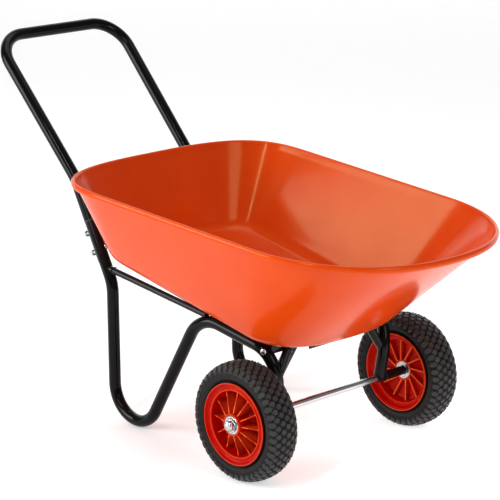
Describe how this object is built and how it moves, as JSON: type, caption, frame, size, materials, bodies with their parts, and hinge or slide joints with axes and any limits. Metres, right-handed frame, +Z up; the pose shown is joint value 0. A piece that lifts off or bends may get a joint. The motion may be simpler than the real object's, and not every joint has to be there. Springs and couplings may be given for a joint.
{
  "type": "garden wheelbarrow",
  "caption": "Two-wheel garden wheelbarrow: deep rounded steel tub on a bent tube frame, looped push handle, solid axle and ribbed plastic wheels.",
  "frame": {"origin": "on the ground under the middle of the bounding box", "axes": "+X forward over the nose and wheels, +Y to the left of a person pushing, +Z up"},
  "size_m": [1.2829, 0.642, 0.8467],
  "materials": {
    "orange_paint": "glossy orange-red enamel on pressed steel",
    "black_paint": "glossy black powder coat on steel tube",
    "zinc_steel": "bright zinc plate",
    "tyre_rubber": "matt black rubber with a block tread",
    "red_plastic": "glossy moulded red plastic",
    "black_plastic": "satin black plastic"
  },
  "bodies": {
    "frame": {"tub": "orange_paint", "handle_tube": "black_paint", "side_frame_right": "black_paint", "side_frame_left": "black_paint", "stay_right": "black_paint", "stay_left": "black_paint", "cross_bar": "black_paint", "tub_support_plate": "black_paint", "brace_right": "black_paint", "brace_left": "black_paint", "axle_rod": "zinc_steel", "axle_sleeve_right": "black_paint", "axle_sleeve_left": "black_paint", "axle_washer_right": "zinc_steel", "axle_washer_left": "zinc_steel", "axle_cap_right": "zinc_steel", "axle_cap_left": "zinc_steel", "frame_plug_right": "black_plastic", "frame_plug_left": "black_plastic", "handle_plug_right": "black_plastic", "handle_plug_left": "black_plastic", "lap_bolt_right_1": "zinc_steel", "lap_bolt_right_2": "zinc_steel", "lap_bolt_left_1": "zinc_steel", "lap_bolt_left_2": "zinc_steel", "lap_nut_right_1": "zinc_steel", "lap_nut_right_2": "zinc_steel", "lap_nut_left_1": "zinc_steel", "lap_nut_left_2": "zinc_steel", "frame_bolt_right": "zinc_steel", "frame_bolt_left": "zinc_steel", "tub_bolt_bar_right": "zinc_steel", "tub_bolt_bar_left": "zinc_steel", "tub_bolt_plate_right": "zinc_steel", "tub_bolt_plate_left": "zinc_steel", "tub_nut_bar_right": "zinc_steel", "tub_nut_bar_left": "zinc_steel", "tub_nut_plate_right": "zinc_steel", "tub_nut_plate_left": "zinc_steel"},
    "wheel_right": {"tyre_right": "tyre_rubber", "wheel_rim_right": "red_plastic", "bearing_inner_right": "zinc_steel", "bearing_outer_right": "zinc_steel"},
    "wheel_left": {"tyre_left": "tyre_rubber", "wheel_rim_left": "red_plastic", "bearing_inner_left": "zinc_steel", "bearing_outer_left": "zinc_steel"}
  },
  "joints": [
    {"name": "wheel_right_spin", "type": "hinge", "parent": "frame", "child": "wheel_right", "pos_m": [0.2815, 0, 0.13], "axis": [0, 1, 0], "continuous": true},
    {"name": "wheel_left_spin", "type": "hinge", "parent": "frame", "child": "wheel_left", "pos_m": [0.2815, 0, 0.13], "axis": [0, 1, 0], "continuous": true}
  ]
}
